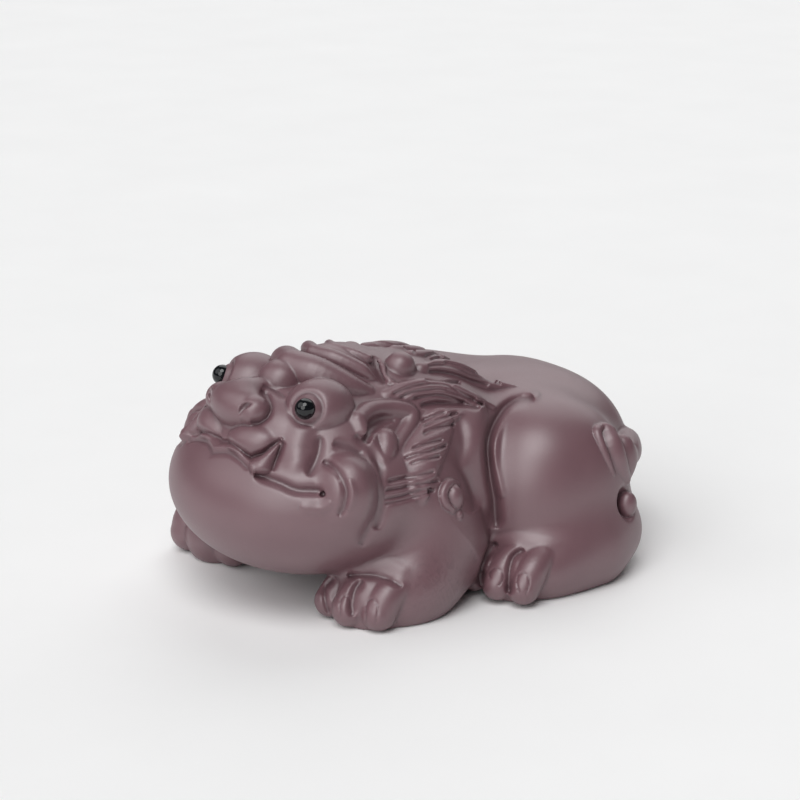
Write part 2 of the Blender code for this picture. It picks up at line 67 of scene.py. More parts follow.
def curveThrough(knots, steps=6):
    # Catmull and Rom's curve through the rows of knots, any number of columns
    knots = np.asarray(knots, float)
    if len(knots) == 2:
        return np.linspace(knots[0], knots[1], 3)
    ends = np.vstack([2 * knots[0] - knots[1], knots, 2 * knots[-1] - knots[-2]])
    t = np.linspace(0, 1, steps, endpoint=False)[:, None]
    runs = [0.5 * (2 * b + (c - a) * t + (2 * a - 5 * b + 4 * c - d) * t**2 + (3 * b - a - 3 * c + d) * t**3)
            for a, b, c, d in zip(ends, ends[1:], ends[2:], ends[3:])]
    return np.vstack(runs + [knots[-1:]])


def egg(centre, half, turn=(0, 0, 0), fullness=2.0):
    # distance to a stretched ball: (length of p/half) - 1, scaled back to mm by the slope there;
    # a fullness above 2 squares its shoulders
    centre, half, axes = np.array(centre, float), np.array(half, float), turnAbout(turn)
    reach = np.abs(axes * half).sum(1) if fullness > 2 else np.sqrt(((axes * half) ** 2).sum(1))

    def distance(p):
        q = (p - centre) @ axes
        round2 = np.sqrt(((q / half) ** 2).sum(1))
        level = round2 if fullness == 2 else (np.abs(q / half) ** fullness).sum(1) ** (1 / fullness)
        return (level - 1) * round2 / (np.sqrt(((q / half**2) ** 2).sum(1)) + 1e-9)

    return centre - reach, centre + reach, distance


def nearestOnPath(p, path):
    # for each point, the squared distance to the path, the run along it and the segment's share
    best = np.full(len(p), np.inf)
    segment = np.zeros(len(p), int)
    share = np.zeros(len(p))
    for index, (head, tail) in enumerate(zip(path, path[1:])):
        run = tail - head
        t = np.clip((p - head) @ run / (run @ run + 1e-12), 0, 1)
        gap = ((p - head - t[:, None] * run) ** 2).sum(1)
        closer = gap < best
        best = np.where(closer, gap, best)
        share = np.where(closer, t, share)
        segment = np.where(closer, index, segment)
    return best, segment, share


def limb(knots, flat=1.0, normal=(0.752, -0.587, 0.30), steps=5):
    # distance to a round tube along a curve; each knot is (x, y, z, radius).
    # flat < 1 presses it thin along the normal
    path = curveThrough(knots, steps)
    normal = np.array(normal) / np.linalg.norm(normal)

    def stretched(p):
        return p + (1 / flat - 1) * (p @ normal)[:, None] * normal

    line, radii = stretched(path[:, :3]), path[:, 3]

    def distance(p):
        gap, segment, share = nearestOnPath(stretched(p), line)
        return np.sqrt(gap) - (radii[segment] + share * (radii[segment + 1] - radii[segment]))

    return (path[:, :3] - radii[:, None]).min(0), (path[:, :3] + radii[:, None]).max(0), distance


def cutLine(knots, width, depth, reach=3.0, tool=(0.752, -0.587, 0.30), blunt=False):
    # a tool's groove: depth x exp(-(d / width)^2), where d is the distance to the line seen along
    # the tool; it runs out towards both ends, and stops at the reach. Depth < 0 is a raised line.
    tool = np.array(tool) / np.linalg.norm(tool)
    path = curveThrough(knots)
    flatPath = path - (path @ tool)[:, None] * tool
    lengths = np.linalg.norm(np.diff(flatPath, axis=0), axis=1)
    start = np.concatenate([[0], np.cumsum(lengths)])

    def distance(p):
        gap, segment, share = nearestOnPath(p - (p @ tool)[:, None] * tool, flatPath)
        along = start[segment] + share * lengths[segment]
        depthHere = path[segment] @ tool + share * ((path[segment + 1] - path[segment]) @ tool)
        fade = np.ones(len(p))
        if not blunt:
            fade = np.clip(np.minimum(along, start[-1] - along) / (2.2 * width), 0, 1)
        fade = np.sqrt(fade * (2 - fade))
        within = np.clip((reach - np.abs(p @ tool - depthHere)) / (0.3 * reach), 0, 1)
        return depth * fade * within * np.exp(-gap / (width * (0.35 + 0.65 * fade)) ** 2)

    return path.min(0) - reach, path.max(0) + reach, distance


def softMin(a, b, blend):
    # the smaller of two distances, rounded where they cross within the blend width
    if blend <= 0:
        return np.minimum(a, b)
    overlap = np.clip(blend - np.abs(a - b), 0, None) / blend
    return np.minimum(a, b) - overlap**2 * blend / 4


def ringRound(direction, knots=12):
    # a closed circle of unit vectors square to the direction
    direction = np.array(direction) / np.linalg.norm(direction)
    aside = np.cross(direction, (0, 0, 1))
    aside /= np.linalg.norm(aside)
    turn = np.linspace(0, 2 * np.pi, knots + 1)[:, None]
    return np.cos(turn) * aside + np.sin(turn) * np.cross(aside, direction)


# One row for each form: (how, blend in mm, form). "join" melts it on, "cut" hollows it out and
# "line" adds a groove. The right flank is the mirror of the left, but for rows on one side.
masses = [
    ("join", 0, egg((0, 16, 15.5), (22, 27, 17.3))),  # trunk
    ("join", 5, egg((0, 32.4, 14.5), (22.5, 18.5, 17), fullness=2.43)),  # rump
    ("join", 4, egg((17, 24.6, 13.3), (15.3, 15.4, 17.8), (0, 0, -8), 2.28)),  # thigh
    ("join", 3, egg((25.2, 26, 7), (9, 13.6, 9))),  # heel
    # hind foot
    ("join", 3, limb([(26.6, 10.5, 4, 5.0), (27.8, 17, 4.5, 6.4), (27.5, 26, 5, 6.7)], steps=14)),
    ("join", 4, egg((17, -3, 15), (9.5, 10, 13))),  # upper arm
    ("join", 3, limb([(17.5, -2, 9, 10.5), (20, -8, 5, 8.5), (19, -14, 3, 7)], steps=18)),  # forearm and paw
    ("join", 3, egg((0, -13.8, 19.8), (24.8, 23.9, 15.4))),  # jaw
    ("join", 3, egg((0, -16, 29.5), (18, 12.5, 9.2))),  # skull
    ("join", 3, egg((0, -2.6, 30), (15, 16, 10.2))),  # crest
    ("join", 2, egg((0, -8.5, 34.3), (8.6, 11.5, 8.4))),  # crown
    ("join", 3, egg((0, 5, 24.5), (20.5, 16.5, 13.2))),  # cape of the mane
]

face = [
    ("join", 2, egg((0, -23, 31), (13, 7.5, 7))),  # muzzle
    ("join", 0.5, egg((0, -28, 35.6), (6.4, 3.9, 3.9))),  # nose
    ("join", 0.4, egg((5.0, -28, 35.8), (2.6, 2.9, 2.6))),  # nose wings
    ("join", 1.2, limb([(0, -26.5, 37.4, 2.6), (0, -22, 36.2, 3)])),  # bridge
    ("join", 0.4, egg((5.4, -28.6, 30.6), (5.2, 3.6, 3.3), (0, -8, 18))),  # upper lip
    ("join", 0.8, limb([(9.9, -21.2, 34.1, 3.0), (11.1, -23, 32, 3.0), (12, -24.5, 29.7, 3.0),
                        (13.5, -25.8, 28, 2.6)])),  # flews
    ("join", 1, egg((19.6, -19.5, 23.5), (6, 6.2, 7))),  # cheek
    ("join", 0.3, egg((9.8, -18.4, 35.4), (5.6, 6.0, 5.2))),  # brow
    ("join", 0.3, egg((0, -19.4, 38.4), (3.9, 3.9, 3.5))),  # forehead
]

nostrils = [
    # nostril
    ("cut", 0.2, limb([(4.4, -31, 35.9, 0.35), (4.9, -30.3, 36.9, 0.6), (5.9, -29.8, 37.7, 0.35)])),
    ("line", 0, cutLine([(2.7, -25.4, 38.4), (4.2, -25, 37.4), (6.9, -26.3, 36.6), (7.5, -27.3, 35.4),
                         (7.3, -28.6, 34.7), (6.3, -30.1, 34.6)], 0.5, 0.45)),
    ("line", 0, cutLine([(2.1, -24.7, 38.8), (3.2, -23.2, 38.1), (6.4, -22.9, 37.4)], 0.5, 0.35)),
    ("line", 0, cutLine(eye["place"] + 2.6 * ringRound(eye["gaze"]), 0.55, 0.45, 3.0, eye["gaze"], True)),
    # fang
    ("join", 0.15, limb([(10.6, -30.8, 27.9, 2.0), (10.6, -29, 29.9, 1.3), (11.2, -27.3, 32.2, 0.35)])),
]

ears = [
    ("join", 0.3, limb([(0, -17, 40.2, 3.0), (4.5, -15, 39.6, 2.9), (8, -11.5, 37.6, 2.4),
                        (9.5, -8.3, 36.3, 1.4)])),
    ("join", 0.2, limb([(0, -12.4, 42.0, 1.4), (4, -10.6, 41.4, 1.4), (7.5, -7.2, 39.3, 1.2),
                        (8.8, -5.2, 37.6, 0.6)])),
    ("join", 0.2, limb([(0, -8.2, 42.0, 0.9), (3.5, -6.6, 41.5, 0.9), (6, -4.2, 40.2, 0.8),
                        (7, -3, 39.3, 0.5)])),
    ("join", 0.3, limb([(5.6, -3.9, 40.5, 0.5), (6.3, -3, 39.6, 0.8), (8.9, -4.2, 38.2, 0.8),
                        (10.7, -3.4, 37, 0.6)])),
    ("join", 0.5, limb([(14.8, -14.2, 34.1, 1.5), (13.3, -10.7, 34.4, 1.6), (13.1, -7.4, 34.1, 1.6),
                        (13.7, -4.7, 33.6, 1.6), (14.6, -3, 32.7, 1.5), (15.6, -4.2, 30.9, 1.5),
                        (17.1, -6.9, 29.6, 1.3), (18.7, -9.4, 28.7, 0.8)], 0.8)),  # rim of the ear
    ("join", 0.8, limb([(15.1, -14.6, 33.9, 1.4), (16.9, -14.7, 31.8, 1.4), (18.3, -14.1, 29.6, 1.4),
                        (19.7, -13.6, 27.8, 1.2)])),
    ("cut", 0.5, limb([(17.9, -14.3, 32, 0.6), (16.4, -12.3, 32.9, 1.1), (15, -9.1, 33, 0.9),
                       (15, -7, 32.7, 0.5)])),
    ("join", 0.3, limb([(17.2, -10.4, 30.3, 2.1), (18.3, -11.2, 29, 2.1), (19.3, -12.4, 27.6, 1.6)])),
]

mane = [
    ("join", 0.4, limb([(2.2, 6.4, 38.0, 1.4), (1.8, 10.4, 37.1, 1.6), (1.6, 13.4, 36.4, 1.2),
                        (1.4, 16.2, 35.8, 0.3)], 0.8)),
    ("join", 0.4, limb([(8.1, 4.3, 37.5, 1.4), (7.6, 8.3, 36.8, 1.9), (7.8, 12.6, 35.5, 2.0),
                        (8.2, 16.9, 33.4, 1.6), (9.4, 21, 31.9, 1.0), (10.7, 23.6, 31.5, 0.4)], 0.75)),
    ("join", 0.4, limb([(11.4, -5.7, 35.3, 1.4), (11.9, -2.2, 35.7, 1.9), (12.6, 2, 35.4, 2.2),
                        (13.3, 6.1, 34.4, 2.1), (14.3, 9.5, 33.1, 1.5), (14.4, 13.6, 31.2, 0.8),
                        (15.4, 16.1, 30.1, 0.25)], 0.75)),
    ("join", 0.5, limb([(16.6, 1.5, 30.6, 3.0), (18.3, -2.1, 28.2, 3.6), (21.4, -7.1, 25.8, 3.8),
                        (22.9, -9.3, 23.2, 3.3)], 0.3)),
    ("join", 0.3, limb([(17.1, 0.7, 30.5, 1.4), (17.2, 4.1, 31.1, 1.1), (16.9, 6.3, 31.5, 0.4)], 0.6)),
    ("join", 0.3, limb([(19.9, -4.2, 27.6, 1.5), (19.5, -0.4, 27.6, 1.2), (19.3, 1.8, 27.8, 0.4)], 0.6)),
    ("join", 0.3, limb([(23.4, -9.5, 23.5, 1.6), (23.6, -5.8, 23.6, 1.3), (23.6, -3.7, 23.7, 0.5)], 0.6)),
    ("join", 0.3, egg((25.1, -1.7, 20.5), (1.8, 1.9, 2.3))),  # curl at the elbow
    ("join", 0.2, limb([(24.2, 0, 22.3, 0.7), (24.6, -2.5, 23, 0.8), (25.2, -4.3, 21.8, 0.8),
                        (25.9, -4.2, 20, 0.7), (26.1, -2.9, 18.7, 0.5)])),
    ("join", 0.3, egg((26.2, -1.6, 17.6), (0.6, 0.6, 0.8))),
    ("join", 1.5, limb([(14.7, 10.1, 30.5, 2.6), (17.7, 7.7, 26.7, 2.8), (18.8, 7.7, 21.5, 2.8),
                        (19.9, 8.1, 16.6, 2.4)])),  # flank roll
]

feet = [
    ("join", 0.3, limb([(14.8, -14.6, 6.2, 2.5), (14.6, -17.8, 5.2, 2.8), (14.6, -20.0, 3, 2.8)])),
    ("join", 0.3, limb([(19.4, -14.2, 6.8, 2.7), (19.5, -17.6, 5.4, 3), (19.5, -19.8, 3, 3)])),
    ("join", 0.3, limb([(23.8, -12.4, 6.8, 2.8), (24.0, -15.2, 5.4, 3), (24.0, -17.0, 3, 3)])),
    ("join", 0.3, limb([(21.9, 10.6, 7.4, 2.2), (21.8, 7.9, 5.8, 2.5), (21.6, 5.7, 3.2, 2.5)])),
    ("join", 0.3, limb([(26.6, 11.4, 7.8, 2.3), (26.8, 8.6, 6.0, 2.6), (26.9, 6.5, 3.2, 2.7)])),
    ("join", 0.3, limb([(30.2, 13.6, 7.6, 2.4), (30.8, 10.9, 5.8, 2.8), (31.0, 8.8, 3.2, 2.8)])),
    ("join", 0.8, limb([(19.8, -15.2, 9.7, 1.6), (21.7, -13.2, 9.8, 1.8), (23.8, -11.9, 9, 1.6)])),  # wrist
    ("join", 0.8, limb([(22.1, 10.3, 9, 1.2), (26.3, 12, 9.7, 1.4), (29.9, 14.6, 9.4, 1.3),
                        (31.6, 17, 8.6, 1.0)])),
]

tail = [
    ("join", 0.8, limb([(0, 49.6, 11.1, 2.2), (8.1, 49.4, 16, 2.4), (15.8, 45.9, 18.2, 2.6),
                        (21.4, 41.3, 19.6, 2.7), (25.6, 37.2, 20.4, 2.7), (27.4, 34.6, 20.6, 2.4)])),
    ("join", 1.0, egg((27.9, 34.1, 20.6), (2.6, 2.6, 4.4))),
    ("join", 0.4, limb([(29.8, 32.9, 17.5, 1.2), (30.1, 30.8, 21, 1.9), (29.3, 30.1, 23.8, 2.1),
                        (27.7, 30.5, 25.7, 1.8)], 0.7)),
    ("join", 0.2, limb([(31.3, 28.8, 19.7, 0.4), (30.6, 27.9, 22.5, 0.6), (29.5, 27.5, 25, 0.7),
                        (27.9, 27.9, 26.9, 0.8), (26.4, 31, 27, 0.6)])),
    ("join", 0.4, limb([(28.2, 32.6, 20.9, 1.5), (28.2, 31.6, 22.9, 1.7), (28, 30.9, 24.9, 1.5),
                        (27.4, 30.4, 26.7, 1.0)], 0.8)),
    ("cut", 1.0, egg((31.8, 31.9, 13.8), (2.1, 2.5, 2.9))),
    ("join", 0.2, egg((30.9, 32.8, 13.1), (1.6, 1.8, 2.3))),
]

folds = [
    # the head: lower lip, mouth, cheek
    ("line", 0, cutLine([(-7.6, -33.3, 27.4), (-3.7, -32.8, 28.9), (-0.5, -32.1, 29.7), (3.5, -32.3, 30.7),
                         (6.7, -31.9, 30), (8.4, -31.3, 28.9)], 0.4, 0.6)),
    ("line", 0, cutLine([(-6.5, -34, 26.9), (-2.7, -33.5, 28.4), (0.3, -32.6, 29.3), (3, -32.2, 29.8),
                         (5.9, -32, 29.3), (8.4, -31.7, 28.5), (11, -32.7, 27.7)], 0.4, -0.3)),
    ("line", 0, cutLine([(-4.3, -35, 26.3), (-1.2, -34.3, 27.7), (1.6, -33.3, 28.6), (3.8, -32.7, 28.9),
                         (6.7, -32.5, 28.4), (9.2, -32.5, 27.5)], 0.45, 0.35)),
    ("line", 0, cutLine([(11, -32.7, 27.4), (12.8, -31.2, 26.7), (14.9, -30.1, 26.2), (17.1, -28.7, 25.4),
                         (18.9, -26.7, 25.3), (20.5, -25.5, 25.3)], 0.8, 1.1)),
    ("line", 0, cutLine([(18.4, -28.9, 23.2), (20.4, -26.7, 22.6), (22.1, -25.1, 24)], 0.8, -0.35)),
    ("cut", 0.2, limb([(21, -26.3, 25.3, 0.55), (19.3, -24.8, 24.5, 0.5)])),
    ("line", 0, cutLine([(11.5, -27, 32), (11.7, -28.4, 29.8), (12.6, -30.2, 27.8)], 0.5, 0.5)),
    ("line", 0, cutLine([(7.9, -31.4, 29), (10.2, -30.5, 30.3), (10.9, -29, 31.4),
                         (11.4, -27.5, 32.3)], 0.4, 0.7)),
    ("line", 0, cutLine([(14.8, -22, 32.7), (15.9, -23.1, 30.7), (16.7, -24.7, 28.8),
                         (17.2, -26.3, 27.4)], 0.8, 0.7)),
    ("line", 0, cutLine([(17.2, -23.4, 29.2), (20, -23.3, 29), (22.3, -23.4, 28), (23.7, -23.4, 26),
                         (23.8, -23.9, 23.5), (22.9, -24.4, 21.6)], 0.65, 0.65)),
    ("line", 0, cutLine([(23.2, -22.6, 27.9), (24.5, -22.6, 25.5), (24.3, -23.3, 22.8)], 0.6, -0.3)),
    ("line", 0, cutLine([(16.6, -20.7, 31.7), (18.7, -18.2, 30.6), (22.8, -18.2, 29.2), (24.7, -18.3, 26.8),
                         (25.5, -18.4, 24.1), (24.9, -19.1, 20.3), (22.9, -20, 15.5)], 0.9, 0.6)),
    ("line", 0, cutLine([(17.3, -16.7, 32.5), (19.5, -14.9, 30.1), (22.4, -15.7, 27.9), (24.5, -16.8, 26.3),
                         (25.1, -17.1, 22.5), (24.3, -17.7, 18.1)], 0.9, 0.7)),
    # the valley beside the horn
    ("line", 0, cutLine([(6.0, -4.6, 41.2), (6.7, -4.6, 40.4), (8.2, -4.9, 38.7),
                         (10.2, -4.8, 37.3)], 1.0, 0.9)),
    # the trunk
    ("line", 0, cutLine([(16.5, 23.1, 31.2), (15.7, 18.8, 30.5), (16.7, 15.3, 29.3), (18.8, 11.5, 27.7),
                         (20.6, 9.3, 25.7), (21.7, 8.9, 21.7), (22.8, 9.1, 16.9),
                         (23, 9.5, 11.7)], 0.9, 1.2, 8)),
    ("line", 0, cutLine([(16.1, 25, 31.3), (16.3, 20.2, 30.8), (17, 16.4, 29.5), (18.7, 13, 27.7),
                         (20.3, 11, 25.2), (21.9, 10.1, 21.5), (23.5, 10, 17.2)], 0.8, -0.45, 8)),
    ("line", 0, cutLine([(17.8, 4.3, 31.7), (19.7, 4, 28), (21.9, 1.6, 24.6), (23.8, 1.8, 21.5),
                         (25.2, 2.5, 16.9)], 1.3, 0.7, 8)),
    # toes and nails
    ("line", 0, cutLine([(15.2, -19.7, 7.2), (15, -21.3, 5.7), (16, -22.2, 4.1),
                         (16.3, -21.6, 1.5)], 0.5, 0.6)),
    ("line", 0, cutLine([(21.1, -18.1, 8.3), (21.2, -19.8, 6.8), (21.7, -20.8, 5),
                         (22.1, -21.2, 2.8)], 0.7, 0.9)),
    ("line", 0, cutLine([(18, -19.1, 8.3), (21.7, -16.8, 8.9), (24.6, -15.3, 8.7),
                         (26.4, -13.9, 7.7)], 0.5, 0.5)),
    ("line", 0, cutLine([(23.5, 9.2, 9.1), (24.9, 6, 8.5), (26.2, 3.7, 7.1), (25, 4.1, 4.4),
                         (23.9, 5.3, 2.2)], 0.5, 0.8)),
    ("line", 0, cutLine([(28.8, 10.8, 9.1), (28.6, 8.7, 8.3), (29.2, 7.3, 6.8), (29.8, 6.6, 4.6),
                         (30.7, 6, 2.8)], 0.55, 0.9)),
    ("line", 0, cutLine([(24.3, -19.9, 2.2), (24.1, -19.7, 4.3), (23.7, -19, 5.4), (24.3, -18.6, 6),
                         (25.2, -18.5, 5.8), (26, -18.7, 4.6), (26.1, -19.2, 2.6)], 0.2, 0.16, blunt=True)),
    ("line", 0, cutLine([(20.8, -22.5, 2.8), (20.3, -22.3, 4.4), (19.9, -21.6, 5.5), (20.2, -21.2, 5.9),
                         (21.1, -21, 5.6), (21.8, -21.3, 4.3)], 0.2, 0.16, blunt=True)),
    ("line", 0, cutLine([(32.5, 6.5, 3.6), (31.6, 6.8, 5.1), (31.3, 7.5, 6.1), (31.8, 7.9, 6.5),
                         (32.7, 8.3, 6.1), (33.3, 8.1, 4.9), (33.4, 7.3, 3.3)], 0.2, 0.16, blunt=True)),
    ("line", 0, cutLine([(27.2, 4.5, 5), (26.7, 4.9, 5.6), (27.1, 5.5, 6.4), (27.8, 5.8, 6.5), (28.7, 6.1, 6),
                         (29.1, 5.8, 4.9), (29, 5, 4)], 0.2, 0.16, blunt=True)),
]

hair = [
    ("line", 0, cutLine([(2.7, 7, 39.1), (-16.2, 26.5, 31.6), (4.7, 12.4, 39)], 0.32, 0.47)),
    ("line", 0, cutLine([(3.3, 9.1, 38), (2.6, 12.1, 37.8), (5.3, 13, 38.2)], 0.32, 0.47)),
    ("line", 0, cutLine([(7.4, 6, 38.8), (2.4, 14.1, 36.9)], 0.3, 0.39)),
    ("line", 0, cutLine([(8.4, 9.4, 38.2), (8.9, 12.6, 37), (9.1, 16.5, 34.9), (9.7, 20, 33.1)], 0.3, 0.43)),
    ("line", 0, cutLine([(8.9, 5.5, 38.3), (8.8, 8.2, 38), (9.2, 11.3, 37), (9.5, 14.4, 35.3),
                         (9.5, 18.1, 33.6), (10.1, 21.1, 32.4)], 0.34, 0.55)),
    ("line", 0, cutLine([(9.3, 5.1, 37.4), (9.2, 8.1, 36.8), (9.4, 11.1, 35.8), (9.5, 14.9, 34),
                         (9.8, 18.6, 32.6)], 0.36, 0.55)),
    ("line", 0, cutLine([(12.7, 1.8, 37.6), (13.2, 5.3, 36.9), (11, 11.1, 34.5)], 0.45, 0.62)),
    ("line", 0, cutLine([(12.5, -5.1, 36), (12.9, -3, 36.6), (13.4, 0.1, 37), (14, 3.1, 36.7),
                         (14.4, 5.6, 36), (15.2, 7.9, 34.5), (16, 10.4, 33)], 0.34, 0.62)),
    ("line", 0, cutLine([(13.1, -4, 35.4), (13.5, -1.9, 36), (14, 0.7, 36.1), (14.5, 3.6, 35.9),
                         (14.9, 5.9, 35), (15.5, 8.5, 33.6), (16, 12.2, 31.7)], 0.36, 0.66)),
    ("line", 0, cutLine([(13.6, -1.6, 34.9), (14.2, 0.6, 35.1), (14.7, 3.2, 34.9), (15, 5.8, 34),
                         (15.7, 8.4, 32.9)], 0.36, 0.62)),
    ("line", 0, cutLine([(14.6, -0.8, 33.7), (14.9, 2, 33.6), (15.5, 4.8, 33.2), (16.1, 8.1, 32.6),
                         (17.1, 10.4, 31.8)], 0.5, 0.86)),
    ("line", 0, cutLine([(16.6, -2.2, 31.6), (17.1, -0.2, 32.3), (17.4, 2.6, 32.7)], 0.36, 0.62)),
    ("line", 0, cutLine([(17.7, -2.6, 31.3), (18, 0.2, 31.9), (17.4, 5.3, 32)], 0.34, 0.62)),
    ("line", 0, cutLine([(19.5, -4.1, 30.5), (19.2, -1.9, 30.9), (18.6, 3.6, 30.7)], 0.45, 0.66)),
    ("line", 0, cutLine([(20.7, -7.4, 29), (21.2, -5, 29.5), (20.8, -0.8, 29.3)], 0.36, 0.62)),
    ("line", 0, cutLine([(20.9, -9.2, 27.7), (21.8, -7.4, 28.3), (22.4, -4.5, 28.5),
                         (21, -0.1, 28.3)], 0.36, 0.66)),
    ("line", 0, cutLine([(22, -8.8, 27), (22.8, -6.9, 27.5), (22.7, -2.8, 27.3)], 0.36, 0.58)),
    ("line", 0, cutLine([(23.4, -14.7, 25.5), (23.1, -11.6, 25.3), (23.9, -7.8, 25.4),
                         (24.2, -5.3, 25.6)], 0.38, 0.66)),
    ("line", 0, cutLine([(24.5, -16, 24.5), (23.8, -12.1, 24), (24.5, -8.6, 24.1),
                         (24.3, -4.3, 23.7)], 0.36, 0.66)),
    ("line", 0, cutLine([(24.7, -16.2, 23.2), (24.3, -12.5, 22.8), (24.5, -9.6, 23),
                         (24.8, -6.4, 23)], 0.34, 0.58)),
    ("line", 0, cutLine([(24.7, -16.2, 22.4), (24.5, -12.7, 22.1), (24.8, -8.7, 22.3),
                         (24.6, -5.6, 22.5)], 0.3, 0.47)),
]

clayForms = masses + face + nostrils + ears + mane + feet + tail + folds + hair

# on one side only: the far horn sits lower, and the far paw stands further forward
oneSided = [
    ("join", 0.5, egg((7.1, 0.7, 38.6), (2.7, 2.7, 2.7))),  # near horn
    ("join", 0.5, egg((-7.1, 0.7, 37.2), (2.7, 2.7, 2.7))),  # far horn
    ("join", 3, limb([(-18, -8, 8, 8), (-21.4, -16, 5.6, 6.6), (-21.4, -19.4, 4, 5.4)])),
    ("join", 0.3, limb([(-15.2, -15.6, 6, 2.7), (-15.2, -17.6, 5, 2.9), (-15.2, -18.4, 3, 2.9)])),
    ("join", 0.3, limb([(-20.4, -16.6, 6.6, 2.8), (-20.4, -19.4, 5.4, 3), (-20.6, -20.4, 3, 3)])),
    ("join", 0.3, limb([(-25.6, -17.4, 7.6, 3.2), (-26.4, -20.6, 6.4, 3.4), (-26.6, -21.4, 3.6, 3.6)])),
]


def clayField(points):
    # below zero is clay, above is air: the rows of forms in order, then the flat base at z = 0
    flank = np.abs(points * (1, 0, 0)) + points * (0, 1, 1)
    value = np.full(len(points), 50.0)
    for number, (how, blend, (low, high, distance)) in enumerate(clayForms + oneSided):
        place = flank if number < len(clayForms) else points
        pad = 0 if how == "line" else 3 + blend  # a form further off than this changes nothing
        near = np.flatnonzero(((place > low - pad) & (place < high + pad)).all(1))
        if len(near) == 0:
            continue
        here = distance(place[near])
        if how == "join":
            value[near] = softMin(value[near], here, blend)
        elif how == "cut":
            value[near] = -softMin(-value[near], here, blend)
        else:
            value[near] += here
    return -softMin(-value, points[:, 2], 0.5)


def inThreads(function, points, parts=24):
    # the same sum on four cores, in a fixed order
    with ThreadPoolExecutor(4) as pool:
        return np.concatenate(list(pool.map(function, np.array_split(points, parts))))


# step: grid spacing in mm; block: fine samples along a coarse one; band: how near the skin a block is
# sampled; nudge and slope: how far apart samples are for a step and for a normal; fold: bend to hollow
skin = {"step": 0.34, "low": (-37, -40, -1.5), "high": (37, 53, 44), "block": 4,
        "band": 3.2, "triangles": 190000, "nudge": 0.08, "furthest": 0.4, "slope": 0.25, "fold": 0.25}


def fieldGrid():
    # coarse samples first, then exact ones only in the blocks that the surface may cross
    step, block = skin["step"], skin["block"]
    low = np.array(skin["low"])
    blocks = np.ceil((np.array(skin["high"]) - low) / (step * block)).astype(int)
    axes = [low[i] + step * (block * np.arange(blocks[i]) + (block - 1) / 2) for i in range(3)]
    middles = np.stack(np.meshgrid(*axes, indexing="ij"), -1).reshape(-1, 3)
    coarse = inThreads(clayField, middles).reshape(blocks)
    values = coarse.repeat(block, 0).repeat(block, 1).repeat(block, 2)
    near = (np.abs(coarse) < skin["band"]).repeat(block, 0).repeat(block, 1).repeat(block, 2)
    values[near] = inThreads(clayField, low + step * np.argwhere(near))
    return values, low, step


def zeroLevel(values, low, step):
    # surface nets: one vertex in each cell that the zero level crosses, at the middle of its
    # crossings, and one quad round each grid edge that it crosses
    inside = values < 0
    size = np.array(values.shape) - 1
    corners = np.array([(a, b, c) for a in (0, 1) for b in (0, 1) for c in (0, 1)])
    count = sum(inside[a:a + size[0], b:b + size[1], c:c + size[2]].astype(np.int8) for a, b, c in corners)
    crossed = (count > 0) & (count < 8)
    cells = np.argwhere(crossed)
    number = np.full(crossed.shape, -1)
    number[crossed] = np.arange(len(cells))
    total, crossings = np.zeros((len(cells), 3)), np.zeros(len(cells))
    for i, first in enumerate(corners):
        for second in corners[i + 1:]:
            if np.abs(first - second).sum() != 1:
                continue
            a, b = values[tuple((cells + first).T)], values[tuple((cells + second).T)]
            hit = (a < 0) != (b < 0)
            share = np.where(hit, a / (a - b + 1e-20), 0)
            total += hit[:, None] * (first + share[:, None] * (second - first))
            crossings += hit
    vertices = low + step * (cells + total / crossings[:, None])
    quads = []
    for axis in range(3):
        across = [i for i in range(3) if i != axis]
        head, tail = [slice(1, -1)] * 3, [slice(1, -1)] * 3
        head[axis], tail[axis] = slice(0, -1), slice(1, None)
        first, second = inside[tuple(head)], inside[tuple(tail)]
        edges = np.argwhere(first != second)
        leaving = first[first != second]
        edges[:, across] += 1
        ring = []
        for back in ((1, 1), (0, 1), (0, 0), (1, 0)):
            cell = edges.copy()
            cell[:, across] -= back
            ring.append(number[tuple(cell.T)])
        quad = np.stack(ring, 1)
        turned = leaving if axis == 1 else ~leaving
        quad[turned] = quad[turned][:, ::-1]
        quads.append(quad)
    return vertices, np.vstack(quads)


def fieldSlope(points, gap):
    # the field's slope by differences along x, y and z, and how much it bends there
    sides = [[inThreads(clayField, points + sign * gap * axis) for sign in (1, -1)] for axis in np.eye(3)]
    slope = np.stack([ahead - behind for ahead, behind in sides], 1) / (2 * gap)
    bend = sum(ahead + behind for ahead, behind in sides) - 6 * inThreads(clayField, points)
    return slope, bend / gap**2


def onZeroLevel(points, rounds=2):
    # Newton's steps along the slope: p - value x slope / |slope|^2
    for turn in range(rounds):
        slope, bend = fieldSlope(points, skin["nudge"])
        steps = inThreads(clayField, points) / ((slope**2).sum(1) + 1e-6)
        points = points - np.clip(steps, -skin["furthest"], skin["furthest"])[:, None] * slope
    return points


def pieceFrom(name, vertices, faces):
    # vertices and faces as arrays, in mm, into a new object at the origin of the frame
    mesh = bpy.data.meshes.new(name)
    corners = faces.shape[1]
    mesh.vertices.add(len(vertices))
    mesh.vertices.foreach_set("co", ((vertices + shift) * mm).ravel())
    mesh.loops.add(faces.size)
    mesh.loops.foreach_set("vertex_index", faces.ravel())
    mesh.polygons.add(len(faces))
    mesh.polygons.foreach_set("loop_start", np.arange(0, faces.size, corners))
    mesh.update(calc_edges=True)
    mesh.validate()
    mesh.shade_smooth()
    piece = bpy.data.objects.new(name, mesh)
    bpy.context.scene.collection.objects.link(piece)
    return piece


